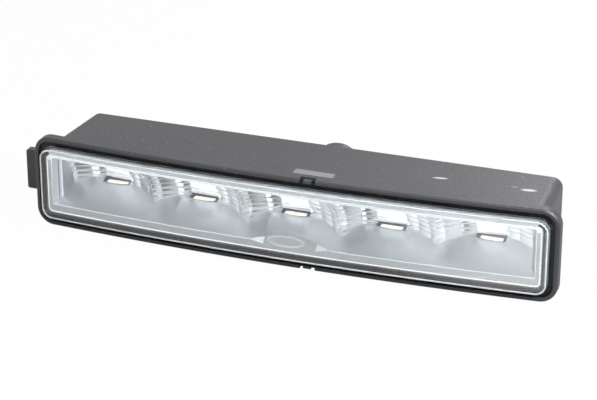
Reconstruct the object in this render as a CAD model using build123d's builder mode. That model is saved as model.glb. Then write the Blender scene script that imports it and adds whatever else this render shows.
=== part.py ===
from build123d import *
import os
from math import sqrt

os.makedirs("parts", exist_ok=True)

# Daytime running light, in millimetres. X runs along the lamp, the light goes towards -Y, +Z is up.
# The origin is midway between the two rear screw bosses, on their seats.

# Housing: flange, lip and body
flange_length = 180.0
flange_height = 31.7
flange_corner = 5.8
flange_depth = 3.4
flange_edge = 0.5
face_bow = 3.9  # how far the middle of the face stands ahead of its ends
lip_wall = 1.4
groove_depth = 2.4
lamp_depth = 31.6  # from the ends of the flange's face to the back wall
wall = 2.0
body_inset_ends = 4.75  # flange edge to body, at the ends
body_inset_sides = 2.05  # flange edge to body, above and below
body_draft_ends = 2.2
body_draft_sides = 0.3
body_corner = 3.4
body_edge = 0.8

# Housing: snap tongues in the lip, land on the top wall and hook tab on the left end
tongue_x = 8.2
tongue_width = 2.6
tongue_slit = 1.4
tongue_relief = 0.45
land_x = 7.1
land_length = 13.4
land_width = 3.5
land_setback = 4.2
land_height = 0.25
tab_height = 14.2
tab_reach = 6.8  # past the end of the flange
tab_thickness = 2.5
tab_gap = 3.8  # panel thickness that fits between flange and tab
tab_edge = 0.8

# Housing: rear screw bosses, cable boss and posts for the heat sink
boss_spacing = 110.0
boss_radius = 5.0
boss_height = 3.0
boss_inner_radius = 4.2
boss_inner_length = 9.0
pilot_radius = 1.9
pilot_depth = 10.0
cable_x = 4.6
cable_z = 4.1
cable_boss_radius = 8.0
cable_boss_length = 6.4
cable_boss_edge = 0.6
post_radius = 3.2

# Lens and its sealant
lens_gap_ends = 1.6
lens_gap_sides = 1.9
lens_corner = 3.6
lens_wall = 1.9
lens_face = 2.0
lens_proud = 2.5  # ahead of the lip
lens_edge = 0.7
seal_bed = 0.4  # sealant under the skirt
seal_depth = 1.0  # from the lip's edge down to the sealant

# Reflector
led_count = 5
rim = 2.1
rim_corner = 1.8
rim_clearance = 0.25
rim_gap = 0.4  # lens to rim
roof = 0.8
end_margin = 1.5
apron = 3.0  # bottom of the rim to the floor's front edge
end_wall_bevel = 2.1  # each end wall first slants in by this much
end_wall_knee = 3.0  # down to this depth
end_wall_lean = 0.08  # and from there on by this much of its depth
bowl_wall = 1.6
bowl_back = 2.5  # emitters to the foot of the wall
bowl_focal_plan = 9.5
bowl_focal_side = 6.0
flute_joins = (9.2, 13.9)  # from the middle of a bowl to the joins between its flutes
flute_bulge = 0.3
facet_rows = 5
foot_rise = 1.2  # emitter level to the first row of facets
row_setback = 12.4  # face to emitters at the middle of the lamp
row_bow = 3.6  # how far the middle emitter stands ahead of the outer ones
led_level = -2.3
floor_thickness = 1.0
pad_x = 2.5
pad_length = 27.6
pad_depth = 3.15
pad_flat = 18.0  # middle of its leaning face, between the two folded ends
pad_dip = 0.95  # foot of that face below the floor's front edge
pad_lean = 45
peg_offset = 7.6
peg_radius = 1.0
peg_shoulder = 1.6
peg_clearance = 0.1

# Emitters
led_width = 7.4
led_depth = 4.0
led_height = 2.2
led_clearance = 0.3
led_slot_side = 1.2
led_slot_rise = 1.3
led_slot_back = 1.8  # the opening goes on behind the emitter, through the foot of the wall
led_cup_radius = 1.7
led_cup_depth = 0.7
led_cup_flare = 0.3
chip_size = 1.5
chip_height = 0.4

# Circuit board, thermal pad, heat sink and their screws
board_front = 2.9  # ahead of the row of emitters
board_back = 13.0
board_margin = 9.8
board_thickness = 1.6
pad_margin = 0.8
pad_thickness = 0.5
sink_front = 2.0
sink_back = 17.5
sink_base = 1.8
fin_thickness = 1.2
fin_clearance = 0.3
fin_places = (1.0, 4.2, 15.4, 18.6)  # behind the heat sink's front edge
screw_back = 7.0
screw_radius = 1.5
screw_head_radius = 2.8
screw_head_height = 1.9
screw_grip = 5.6
screw_clearance = 0.15
screw_drive = 1.1

# Parts on the board: how far behind the row, where along it, and their own sizes
part_back = 8.0
driver_x = -9.0
driver_length = 5.0
driver_width = 4.0
driver_height = 1.5
driver_stand = 0.15
driver_edge = 0.25
driver_legs = 4
leg_pitch = 1.27
leg_width = 0.4
leg_reach = 1.0
leg_root = 0.4
leg_height = 0.6
transistor_x = -20.0
transistor_width = 6.5
transistor_depth = 5.4
transistor_height = 1.8
transistor_edge = 0.3
heat_tab_width = 5.4
heat_tab_reach = 1.6
heat_tab_thickness = 0.5
lead_pitch = 4.6
lead_width = 0.8
lead_reach = 1.0
lead_height = 0.9
diode_x = -30.0
diode_length = 4.3
diode_width = 2.6
diode_height = 2.2
diode_edge = 0.3
terminal_x = 14.0
terminal_width = 8.0
terminal_depth = 6.4
terminal_height = 6.6
terminal_edge = 0.8
way_pitch = 3.8
way_width = 2.4
way_height = 2.8
way_depth = 2.0
way_level = 3.0
way_screw_radius = 1.0
way_screw_depth = 1.5
inductor_x = 26.0
inductor_side = 7.0
inductor_corner = 1.6
inductor_height = 4.5
inductor_dimple_radius = 2.6
inductor_dimple = 0.4
capacitor_x = 36.0
capacitor_radius = 3.1
capacitor_height = 7.6
capacitor_edge = 0.4
capacitor_foot = 6.4
capacitor_foot_corner = 0.8
capacitor_foot_height = 0.9
resistor_places = (-39.1, -36.8, -34.5)
resistor_length = 3.2
resistor_width = 1.6
resistor_height = 0.6
ceramic_places = (-25.2, -14.6, 20.2, 31.2)
ceramic_length = 3.2
ceramic_width = 1.6
ceramic_height = 1.3

# Cable gland and breather
gland_bore = 2.8
gland_radius = 5.0
gland_flange_radius = 7.4
gland_flange = 1.6
gland_bead_radius = 6.4
gland_bead = 1.4
vent_x = -28.0
vent_z = 0.0
vent_stem_radius = 2.0
vent_cap_radius = 4.6
vent_cap_height = 1.8
vent_hole = 0.6

# Places worked out from the sizes
back_y = -boss_height
face_end_y = back_y - lamp_depth
face_mid_y = face_end_y - face_bow
face_radius = (flange_length**2 / 4 + face_bow**2) / (2 * face_bow)
lens_length = flange_length - 2 * (lip_wall + lens_gap_ends)
lens_height = flange_height - 2 * (lip_wall + lens_gap_sides)
window_length = lens_length - 2 * (lens_wall + rim)
led_pitch = (window_length - 2 * end_margin) / led_count
row_mid_y = face_mid_y + row_setback
row_half = led_pitch * (led_count - 1) / 2
row_radius = (row_half**2 + row_bow**2) / (2 * row_bow)
rim_front = lens_face - lens_proud + rim_gap
rim_length = lens_length - 2 * (lens_wall + rim_clearance)
rim_height = lens_height - 2 * (lens_wall + rim_clearance)
body_half = flange_length / 2 - body_inset_ends
body_front_height = flange_height - 2 * body_inset_sides
board_top = led_level - led_height
board_bottom = board_top - board_thickness
sink_top = board_bottom - pad_thickness
sink_bottom = sink_top - sink_base
cavity_floor = -(body_front_height / 2 - body_draft_sides - wall)
floor_edge_z = apron - rim_height / 2
floor_slope = (led_level - floor_edge_z) / (row_setback - rim_front)
window_top = rim_height / 2 - roof
reach = flange_height  # longer than any cut needs
led_places = [led_pitch * (n - (led_count - 1) / 2) for n in range(led_count)]
screw_places = (-1.5 * led_pitch, 0.0, 1.5 * led_pitch)
peg_places = [x + side * peg_offset for x in (led_places[1], led_places[-2]) for side in (-1, 1)]


def row_y(x):
    """Y of the emitters' arc at a place along the lamp."""
    return row_mid_y + row_radius - sqrt(row_radius**2 - x**2)


def bowed_strip(length, front, back, middle, radius):
    """Plan of a strip along an arc, from front to back of the arc's own line."""
    with BuildSketch(mode=Mode.PRIVATE) as strip:
        with Locations((0, middle + radius)):
            Circle(radius - front)
            Circle(radius - back, mode=Mode.SUBTRACT)
        with Locations((0, middle)):
            Rectangle(length, 4 * lamp_depth, mode=Mode.INTERSECT)
    return strip.sketch


def bowed_layer(length, height, corner, front, back):
    """A rounded rectangle seen from the front, between two depths behind the bowed face."""
    with BuildPart(mode=Mode.PRIVATE) as layer:
        with BuildSketch(Plane.XY.offset(-height)):
            add(bowed_strip(2 * length, front, back, face_mid_y, face_radius))
        extrude(amount=2 * height)
        with BuildSketch(Plane.XZ.offset(-face_mid_y)):
            RectangleRounded(length, height, corner)
        extrude(amount=2 * lamp_depth, both=True, mode=Mode.INTERSECT)
    return layer.part


# Housing: one black moulding, a drafted tub with a flange that carries the lens groove and its lip
with BuildPart(mode=Mode.PRIVATE) as tub:
    with BuildSketch(Plane.XZ.offset(-face_mid_y)):
        RectangleRounded(2 * body_half, body_front_height, body_corner)
    with BuildSketch(Plane.XZ.offset(-back_y)):
        RectangleRounded(
            2 * (body_half - body_draft_ends),
            body_front_height - 2 * body_draft_sides,
            body_corner,
        )
    loft()
    fillet(tub.faces().sort_by(Axis.Y)[-1].edges(), radius=body_edge)
    add(
        bowed_layer(flange_length, flange_height, flange_corner, groove_depth, 2 * lamp_depth),
        mode=Mode.INTERSECT,
    )

with BuildPart(mode=Mode.PRIVATE) as cavity:
    with BuildSketch(Plane.XZ.offset(-face_mid_y)):
        RectangleRounded(
            2 * (body_half - wall),
            body_front_height - 2 * wall,
            body_corner - wall / 2,
        )
    with BuildSketch(Plane.XZ.offset(-(back_y - wall))):
        RectangleRounded(
            2 * (body_half - body_draft_ends - wall),
            body_front_height - 2 * (body_draft_sides + wall),
            body_corner - wall / 2,
        )
    loft()

tab_y = face_end_y + flange_depth + tab_gap
land_y = face_end_y + land_setback

with BuildPart() as housing:
    add(bowed_layer(flange_length, flange_height, flange_corner, 0, flange_depth))
    chamfer(housing.faces().sort_by(Axis.Y)[0].edges(), length=flange_edge)
    add(tub.part)
    # Hook tab that goes behind the panel's edge at the left end
    with BuildSketch(Plane.XZ.offset(-tab_y)):
        tab_length = flange_length / 2 + tab_reach - body_half + wall
        with Locations((-body_half + wall - tab_length / 2, 0)):
            Rectangle(tab_length, tab_height)
    extrude(amount=-tab_thickness)
    fillet(housing.edges().filter_by(Axis.Y).group_by(Axis.X)[0], radius=tab_edge)
    # Smooth land on the top wall behind the snap tongue
    with BuildSketch(Plane.XY.offset(body_front_height / 2 - wall / 2)):
        with Locations((land_x, land_y + land_width / 2)):
            Rectangle(land_length, land_width)
    extrude(amount=wall / 2 + land_height)
    # Rear screw bosses and cable boss
    with BuildSketch(Plane.XZ.offset(-(back_y - wall))):
        with GridLocations(boss_spacing, 1, 2, 1):
            Circle(boss_radius)
    extrude(amount=-(wall + boss_height))
    with BuildSketch(Plane.XZ.offset(-(back_y - wall))):
        with Locations((cable_x, cable_z)):
            Circle(cable_boss_radius)
    extrude(amount=-(wall + cable_boss_length))
    chamfer(housing.edges().group_by(Axis.Y)[-1], length=cable_boss_edge)
    add(cavity.part, mode=Mode.SUBTRACT)
    # Inside: the bosses carry on into the tub, and posts stand under the heat sink
    with BuildSketch(Plane.XZ.offset(-(back_y - wall / 2))):
        with GridLocations(boss_spacing, 1, 2, 1):
            Circle(boss_inner_radius)
    extrude(amount=boss_inner_length + wall / 2)
    with BuildSketch(Plane.XY.offset(sink_bottom)):
        for x in screw_places:
            with Locations((x, row_y(x) + screw_back)):
                Circle(post_radius)
    extrude(amount=cavity_floor - wall / 2 - sink_bottom)
    # Groove for the lens, inside the lip
    add(
        bowed_layer(
            flange_length - 2 * lip_wall,
            flange_height - 2 * lip_wall,
            flange_corner - lip_wall,
            -lens_proud,
            groove_depth,
        ),
        mode=Mode.SUBTRACT,
    )
    # Snap tongues: two slits through the lip and a thinner tongue between them, above and below
    with BuildSketch(Plane.XZ.offset(-face_mid_y)):
        for side in (1, -1):
            for step in (1, -1):
                slit_x = tongue_x + step * (tongue_width + tongue_slit) / 2
                with Locations((slit_x, side * flange_height / 2)):
                    Rectangle(tongue_slit, 2 * lip_wall)
            with Locations((tongue_x, side * (flange_height / 2))):
                Rectangle(tongue_width, 2 * tongue_relief)
    extrude(amount=groove_depth, both=True, mode=Mode.SUBTRACT)
    # Holes: screw pilots at the back, cable way, breather way, screw pilots in the posts
    with Locations(Plane.XZ.offset(0)):
        with GridLocations(boss_spacing, 1, 2, 1):
            Cylinder(pilot_radius, 2 * pilot_depth, mode=Mode.SUBTRACT)
    with Locations(Plane.XZ.offset(-back_y)):
        with Locations((cable_x, cable_z)):
            Cylinder(gland_radius, 4 * cable_boss_length, mode=Mode.SUBTRACT)
        with Locations((vent_x, vent_z)):
            Cylinder(vent_stem_radius, 4 * wall, mode=Mode.SUBTRACT)
    for x in screw_places:
        with Locations((x, row_y(x) + screw_back, sink_bottom)):
            Cylinder(screw_radius, 2 * (sink_bottom - cavity_floor), mode=Mode.SUBTRACT)
housing.part.label = "housing"
export_step(housing.part, "parts/housing.step")

# Lens: one clear moulding, a shallow tray whose skirt stands in the groove
skirt_end = groove_depth - seal_bed
with BuildPart() as lens:
    add(bowed_layer(lens_length, lens_height, lens_corner, -lens_proud, skirt_end))
    fillet(lens.faces().sort_by(Axis.Y)[0].edges(), radius=lens_edge)
    add(
        bowed_layer(
            lens_length - 2 * lens_wall,
            lens_height - 2 * lens_wall,
            lens_corner - lens_wall,
            lens_face - lens_proud,
            2 * groove_depth,
        ),
        mode=Mode.SUBTRACT,
    )
lens.part.label = "lens"
export_step(lens.part, "parts/lens.step")

# Sealant: a bead of black butyl that fills the groove around the skirt
with BuildPart() as lens_seal:
    add(
        bowed_layer(
            flange_length - 2 * lip_wall,
            flange_height - 2 * lip_wall,
            flange_corner - lip_wall,
            seal_depth,
            groove_depth,
        )
    )
    add(bowed_layer(lens_length, lens_height, lens_corner, 0, skirt_end), mode=Mode.SUBTRACT)
    add(
        bowed_layer(
            lens_length - 2 * lens_wall,
            lens_height - 2 * lens_wall,
            lens_corner - lens_wall,
            0,
            2 * groove_depth,
        ),
        mode=Mode.SUBTRACT,
    )
lens_seal.part.label = "lens_seal"
export_step(lens_seal.part, "parts/lens_seal.step")

# Reflector: one metallised moulding with a fluted bowl for each emitter on a bowed, sloped floor
led_slot_half = led_width / 2 + led_slot_side
open_y = face_mid_y - reach
deep_y = face_end_y + lamp_depth
end_room = body_half - wall - body_draft_ends / 2 - 2 * rim_clearance


def bowl_points():
    """Corners of the fluted back wall in plan, from the left end to the right."""
    points = []
    for x in led_places:
        right = [led_slot_half, *flute_joins, led_pitch / 2]
        left = [-e for e in reversed(right)]
        if points:
            left.pop(0)
        for e in left + right:
            points.append((x + e, row_y(x + e) + bowl_back - e**2 / (4 * bowl_focal_plan)))
    return points


def bowl_plan(thickness):
    """Plan of the space ahead of the fluted wall, moved back by thickness."""
    points = [(x, y + thickness) for x, y in bowl_points()]
    points[0] = (-flange_length / 2, points[0][1])
    points[-1] = (flange_length / 2, points[-1][1])
    side = flange_length / 2
    with BuildSketch(mode=Mode.PRIVATE) as plan:
        with BuildLine():
            Polyline(points[-1], (side, open_y), (-side, open_y), points[0])
            for a, b in zip(points, points[1:]):
                if thickness == 0:
                    ThreePointArc(a, ((a[0] + b[0]) / 2, (a[1] + b[1]) / 2 - flute_bulge), b)
                else:
                    Line(a, b)
        make_face()
    return plan.sketch


def end_walls(thickness):
    """Plan between the two leaning end walls, each moved out by thickness."""
    side = window_length / 2 + thickness
    knee = side - end_wall_bevel
    deep = knee - end_wall_lean * lamp_depth
    with BuildSketch(mode=Mode.PRIVATE) as plan:
        with BuildLine():
            Polyline((deep, deep_y), (knee, face_end_y + end_wall_knee), (side, face_end_y), (side, open_y))
            mirror(about=Plane.YZ)
            Line((-deep, deep_y), (deep, deep_y))
            Line((-side, open_y), (side, open_y))
        make_face()
    return plan.sketch


def lean_at(z):
    """How far the side profile of a bowl has come forward at a height."""
    return max(z - led_level, 0) ** 2 / (4 * bowl_focal_side)


def bowl_rows(bottom, top, thickness):
    """The space of all bowls in layers, upright steps on the facets' side and leaning on the back."""
    foot = led_level + foot_rise
    pitch = (window_top - foot) / facet_rows
    levels = [bottom] + [foot + pitch * n for n in range(facet_rows + 1)]
    levels[-1] = top
    plan = bowl_plan(thickness)
    with BuildPart(mode=Mode.PRIVATE) as rows:
        for low, high in zip(levels, levels[1:]):
            lean = lean_at(high if thickness == 0 else low)
            travel = Vector(0, lean - lean_at(high), high - low)
            with BuildSketch(Plane((0, -lean, low))):
                add(plan)
            extrude(amount=travel.length, dir=travel.normalized())
        with BuildSketch(Plane.XY.offset(bottom)):
            add(end_walls(thickness))
        extrude(amount=top - bottom, mode=Mode.INTERSECT)
    return rows.part


def below_floor(drop, front):
    """Everything under the sloped floor, or under its lower side."""
    rise = floor_slope * lamp_depth
    edge_y = face_mid_y + rim_front
    start = floor_edge_z - drop + floor_slope * (front - edge_y)
    with BuildPart(mode=Mode.PRIVATE) as wedge:
        with BuildSketch(Plane.YZ):
            with BuildLine():
                Polyline(
                    (front, start),
                    (front + lamp_depth, start + rise),
                    (front + lamp_depth, -reach),
                    (front, -reach),
                    close=True,
                )
            make_face()
        half_turn = 180 * flange_length / (3 * face_radius)
        revolve(axis=Axis((0, face_mid_y + face_radius, 0), (0, 0, 1)), revolution_arc=half_turn)
        mirror(about=Plane.YZ)
    return wedge.part


with BuildPart(mode=Mode.PRIVATE) as light_space:
    add(bowl_rows(floor_edge_z, window_top, 0))
    add(below_floor(0, face_mid_y - lens_proud), mode=Mode.SUBTRACT)

# Raised pad: a bare plaque that leans back from the apron, its two ends folded up to the floor's edge
pad_foot_y = face_mid_y + rim_front
with BuildPart(mode=Mode.PRIVATE) as pad:
    with BuildSketch(Plane.XY.offset(-reach)):
        with BuildLine():
            left, right = pad_x - pad_length / 2, pad_x + pad_length / 2
            ThreePointArc((left, pad_foot_y), (pad_x, pad_foot_y + pad_depth), (right, pad_foot_y))
            Polyline((right, pad_foot_y), (right, open_y), (left, open_y), (left, pad_foot_y))
        make_face()
    extrude(amount=2 * reach)
    add(below_floor(-pad_depth, face_mid_y - lens_proud), mode=Mode.INTERSECT)
    add(below_floor(floor_thickness / 2, face_mid_y - lens_proud), mode=Mode.SUBTRACT)
    add(bowed_layer(rim_length, 2 * rim_height, rim_corner, rim_front, lamp_depth / 2), mode=Mode.INTERSECT)

with BuildPart(mode=Mode.PRIVATE) as pad_front:
    lean_way = Vector(0, 1, 0).rotate(Axis.X, pad_lean)
    pad_run = Vector(0, pad_depth, pad_dip + (1 + floor_slope) * pad_depth).dot(lean_way) + pad_dip
    with BuildSketch(Plane((pad_x, pad_foot_y, floor_edge_z - pad_dip), x_dir=(1, 0, 0), z_dir=lean_way)):
        with BuildLine():
            fold = lean_way.Y * pad_dip
            wide = pad_length - pad_flat / 2
            Polyline(
                (-wide, -2 * fold),
                (-pad_flat / 2, 0),
                (pad_flat / 2, 0),
                (wide, -2 * fold),
                (wide, -2 * pad_depth),
                (-wide, -2 * pad_depth),
                close=True,
            )
        make_face()
    extrude(amount=pad_run, both=True)

with BuildPart() as reflector:
    add(bowl_rows(floor_edge_z - floor_thickness, rim_height / 2, bowl_wall))
    add(
        bowed_layer(2 * end_room, 2 * rim_height, rim_corner, rim_front, 2 * lamp_depth),
        mode=Mode.INTERSECT,
    )
    add(bowed_layer(rim_length, rim_height, rim_corner, rim_front, groove_depth))
    add(light_space.part, mode=Mode.SUBTRACT)
    add(below_floor(floor_thickness, face_mid_y + groove_depth), mode=Mode.SUBTRACT)
    add(pad.part)
    add(pad_front.part, mode=Mode.SUBTRACT)
    # Openings for the emitters
    slot_depth = led_depth + 2 * led_clearance + led_slot_back
    with Locations(*[(x, row_y(x) + led_slot_back / 2, led_level + led_slot_rise) for x in led_places]):
        Box(
            2 * led_slot_half,
            slot_depth,
            2 * led_height,
            align=(Align.CENTER, Align.CENTER, Align.MAX),
            mode=Mode.SUBTRACT,
        )
    # Pegs that stand on the board and go through it
    peg_top = led_level - 3 * floor_thickness / 4
    with BuildSketch(Plane.XY.offset(board_top)):
        with Locations(*[(x, row_y(x)) for x in peg_places]):
            Circle(peg_shoulder)
    extrude(amount=peg_top - board_top)
    with BuildSketch(Plane.XY.offset(board_top)):
        with Locations(*[(x, row_y(x)) for x in peg_places]):
            Circle(peg_radius)
    extrude(amount=-board_thickness)
reflector.part.label = "reflector"
export_step(reflector.part, "parts/reflector.step")

# Emitters: a white moulded package with a round cup, and the phosphor chip at the bottom of the cup
for n, x in enumerate(led_places, start=1):
    with BuildPart(Plane((x, row_y(x), board_top))) as led_package:
        Box(led_width, led_depth, led_height, align=(Align.CENTER, Align.CENTER, Align.MIN))
        chamfer(led_package.edges().filter_by(Axis.Z), length=led_cup_flare)
        with Locations((0, 0, led_height - led_cup_depth)):
            Cone(
                led_cup_radius - led_cup_flare,
                led_cup_radius,
                led_cup_depth,
                align=(Align.CENTER, Align.CENTER, Align.MIN),
                mode=Mode.SUBTRACT,
            )
    led_package.part.label = f"led_package_{n}"
    export_step(led_package.part, f"parts/led_package_{n}.step")

    with BuildPart(Plane((x, row_y(x), led_level - led_cup_depth))) as led_chip:
        Box(chip_size, chip_size, chip_height, align=(Align.CENTER, Align.CENTER, Align.MIN))
    led_chip.part.label = f"led_chip_{n}"
    export_step(led_chip.part, f"parts/led_chip_{n}.step")

# Circuit board: a strip that follows the row of emitters, with holes for pegs and screws
board_length = 2 * (row_half + board_margin)
with BuildPart() as circuit_board:
    with BuildSketch(Plane.XY.offset(board_bottom)):
        add(bowed_strip(board_length, -board_front, board_back, row_mid_y, row_radius))
        for x in screw_places:
            with Locations((x, row_y(x) + screw_back)):
                Circle(screw_radius + screw_clearance, mode=Mode.SUBTRACT)
        for x in peg_places:
            with Locations((x, row_y(x))):
                Circle(peg_radius + peg_clearance, mode=Mode.SUBTRACT)
    extrude(amount=board_thickness)
circuit_board.part.label = "circuit_board"
export_step(circuit_board.part, "parts/circuit_board.step")

# Thermal pad: a soft sheet between board and heat sink
with BuildPart() as thermal_pad:
    with BuildSketch(Plane.XY.offset(sink_top)):
        add(
            bowed_strip(
                board_length - 2 * pad_margin,
                pad_margin - board_front,
                board_back - pad_margin,
                row_mid_y,
                row_radius,
            )
        )
        for x in screw_places:
            with Locations((x, row_y(x) + screw_back)):
                Circle(screw_radius + 2 * screw_clearance, mode=Mode.SUBTRACT)
    extrude(amount=pad_thickness)
thermal_pad.part.label = "thermal_pad"
export_step(thermal_pad.part, "parts/thermal_pad.step")

# Heat sink: a length of aluminium extrusion with fins, bored for the screws
sink_front_y = row_mid_y - sink_front
fin_bottom = cavity_floor + fin_clearance
with BuildPart() as heat_sink:
    with BuildSketch(Plane.YZ.offset(-board_length / 2)):
        with Locations((sink_front_y, sink_bottom)):
            Rectangle(sink_front + sink_back, sink_base, align=(Align.MIN, Align.MIN))
        for place in fin_places:
            with Locations((sink_front_y + place, sink_bottom)):
                Rectangle(fin_thickness, sink_bottom - fin_bottom, align=(Align.CENTER, Align.MAX))
    extrude(amount=board_length)
    for x in screw_places:
        with Locations((x, row_y(x) + screw_back, sink_bottom)):
            Cylinder(screw_radius + screw_clearance, 4 * sink_base, mode=Mode.SUBTRACT)
heat_sink.part.label = "heat_sink"
export_step(heat_sink.part, "parts/heat_sink.step")

# Board screws: pan heads on the board, shanks down into the posts
with BuildPart() as board_screws:
    for x in screw_places:
        with Locations((x, row_y(x) + screw_back, board_top)):
            Cylinder(screw_head_radius, screw_head_height, align=(Align.CENTER, Align.CENTER, Align.MIN))
            Cylinder(screw_radius, screw_grip, align=(Align.CENTER, Align.CENTER, Align.MAX))
    chamfer(board_screws.edges().group_by(Axis.Z)[-1], length=screw_head_height / 2)
    for x in screw_places:
        with Locations((x, row_y(x) + screw_back, board_top + screw_head_height)):
            Box(2 * screw_drive, screw_drive / 2, screw_head_height, mode=Mode.SUBTRACT)
            Box(screw_drive / 2, 2 * screw_drive, screw_head_height, mode=Mode.SUBTRACT)
board_screws.part.label = "board_screws"
export_step(board_screws.part, "parts/board_screws.step")


on_board = (Align.CENTER, Align.CENTER, Align.MIN)


def board_place(x):
    """A plane on top of the board, behind the row of emitters."""
    return Plane((x, row_y(x) + part_back, board_top))


# Driver chip: a moulded body on gull-wing legs
with BuildPart(board_place(driver_x)) as driver_chip:
    with Locations((0, 0, driver_stand)):
        Box(driver_length, driver_width, driver_height, align=on_board)
    chamfer(driver_chip.faces().sort_by(Axis.Z)[-1].edges(), length=driver_edge)
    with GridLocations(leg_pitch, driver_width + leg_reach - leg_root, driver_legs, 2):
        Box(leg_width, leg_reach + leg_root, leg_height, align=on_board)
driver_chip.part.label = "driver_chip"
export_step(driver_chip.part, "parts/driver_chip.step")

# Power transistor: a moulded body on a metal heat tab, with two leads
with BuildPart(board_place(transistor_x)) as power_transistor:
    with Locations((0, heat_tab_reach / 2, 0)):
        Box(heat_tab_width, transistor_depth + heat_tab_reach, heat_tab_thickness, align=on_board)
    with Locations((0, 0, heat_tab_thickness)):
        Box(transistor_width, transistor_depth, transistor_height, align=on_board)
    chamfer(power_transistor.faces().sort_by(Axis.Z)[-1].edges(), length=transistor_edge)
    with Locations((-lead_pitch / 2, -transistor_depth / 2, 0), (lead_pitch / 2, -transistor_depth / 2, 0)):
        Box(lead_width, 2 * lead_reach, lead_height, align=on_board)
power_transistor.part.label = "power_transistor"
export_step(power_transistor.part, "parts/power_transistor.step")

# Protection diode: a small moulded block
with BuildPart(board_place(diode_x)) as protection_diode:
    Box(diode_length, diode_width, diode_height, align=on_board)
    chamfer(protection_diode.faces().sort_by(Axis.Z)[-1].edges(), length=diode_edge)
protection_diode.part.label = "protection_diode"
export_step(protection_diode.part, "parts/protection_diode.step")

# Inductor: a shielded square core with round shoulders
with BuildPart() as inductor:
    with BuildSketch(board_place(inductor_x)):
        RectangleRounded(inductor_side, inductor_side, inductor_corner)
    extrude(amount=inductor_height)
    with BuildSketch(board_place(inductor_x).offset(inductor_height)):
        Circle(inductor_dimple_radius)
    extrude(amount=-inductor_dimple, mode=Mode.SUBTRACT)
inductor.part.label = "inductor"
export_step(inductor.part, "parts/inductor.step")

# Smoothing capacitor: an aluminium can on a square foot
with BuildPart() as smoothing_capacitor:
    with BuildSketch(board_place(capacitor_x)):
        RectangleRounded(capacitor_foot, capacitor_foot, capacitor_foot_corner)
    extrude(amount=capacitor_foot_height)
    with BuildSketch(board_place(capacitor_x)):
        Circle(capacitor_radius)
    extrude(amount=capacitor_height)
    chamfer(smoothing_capacitor.edges().group_by(Axis.Z)[-1], length=capacitor_edge)
smoothing_capacitor.part.label = "smoothing_capacitor"
export_step(smoothing_capacitor.part, "parts/smoothing_capacitor.step")

# Cable terminal: a two-way block with wire openings at the back and clamp screws on top
with BuildPart(board_place(terminal_x)) as cable_terminal:
    Box(terminal_width, terminal_depth, terminal_height, align=on_board)
    chamfer(cable_terminal.edges().filter_by(Axis.X).group_by(Axis.Z)[-1], length=terminal_edge)
    for side in (-1, 1):
        with Locations((side * way_pitch / 2, terminal_depth / 2, way_level)):
            Box(way_width, 2 * way_depth, way_height, mode=Mode.SUBTRACT)
        with Locations((side * way_pitch / 2, 0, terminal_height)):
            Cylinder(way_screw_radius, 2 * way_screw_depth, mode=Mode.SUBTRACT)
cable_terminal.part.label = "cable_terminal"
export_step(cable_terminal.part, "parts/cable_terminal.step")

# Sense resistors and ceramic capacitors: chips soldered beside the driver
with BuildPart() as sense_resistors:
    with Locations(*[board_place(x) for x in resistor_places]):
        Box(resistor_width, resistor_length, resistor_height, align=on_board)
sense_resistors.part.label = "sense_resistors"
export_step(sense_resistors.part, "parts/sense_resistors.step")

with BuildPart() as ceramic_capacitors:
    with Locations(*[board_place(x) for x in ceramic_places]):
        Box(ceramic_width, ceramic_length, ceramic_height, align=on_board)
ceramic_capacitors.part.label = "ceramic_capacitors"
export_step(ceramic_capacitors.part, "parts/ceramic_capacitors.step")

# Cable gland: a rubber bush with a flange outside the boss and a bead inside the wall
gland_end = back_y + cable_boss_length + gland_flange
with BuildPart() as cable_gland:
    with BuildSketch(Plane.XY.offset(cable_z)):
        with BuildLine():
            Polyline(
                (cable_x + gland_bore, back_y - wall - gland_bead),
                (cable_x + gland_bead_radius, back_y - wall - gland_bead),
                (cable_x + gland_bead_radius, back_y - wall),
                (cable_x + gland_radius, back_y - wall),
                (cable_x + gland_radius, back_y + cable_boss_length),
                (cable_x + gland_flange_radius, back_y + cable_boss_length),
                (cable_x + gland_flange_radius, gland_end),
                (cable_x + gland_bore, gland_end),
                close=True,
            )
        make_face()
    revolve(axis=Axis((cable_x, 0, cable_z), (0, 1, 0)))
    chamfer(cable_gland.edges().group_by(Axis.Y)[-1].sort_by(SortBy.RADIUS)[-1], length=gland_flange / 2)
cable_gland.part.label = "cable_gland"
export_step(cable_gland.part, "parts/cable_gland.step")

# Breather cap: a round cap with a stem that snaps into the back wall
with BuildPart() as breather_cap:
    with BuildSketch(Plane.XZ.offset(-back_y)):
        with Locations((vent_x, vent_z)):
            Circle(vent_cap_radius)
    extrude(amount=-vent_cap_height)
    chamfer(breather_cap.edges().group_by(Axis.Y)[-1], length=vent_cap_height / 2)
    with BuildSketch(Plane.XZ.offset(-back_y)):
        with Locations((vent_x, vent_z)):
            Circle(vent_stem_radius)
    extrude(amount=wall)
    with Locations(Plane.XZ.offset(-back_y)):
        with Locations((vent_x, vent_z)):
            Cylinder(vent_hole, 4 * wall, mode=Mode.SUBTRACT)
breather_cap.part.label = "breather_cap"
export_step(breather_cap.part, "parts/breather_cap.step")
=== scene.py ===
import math

import bmesh
import bpy
from mathutils import Matrix, Vector


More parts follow.
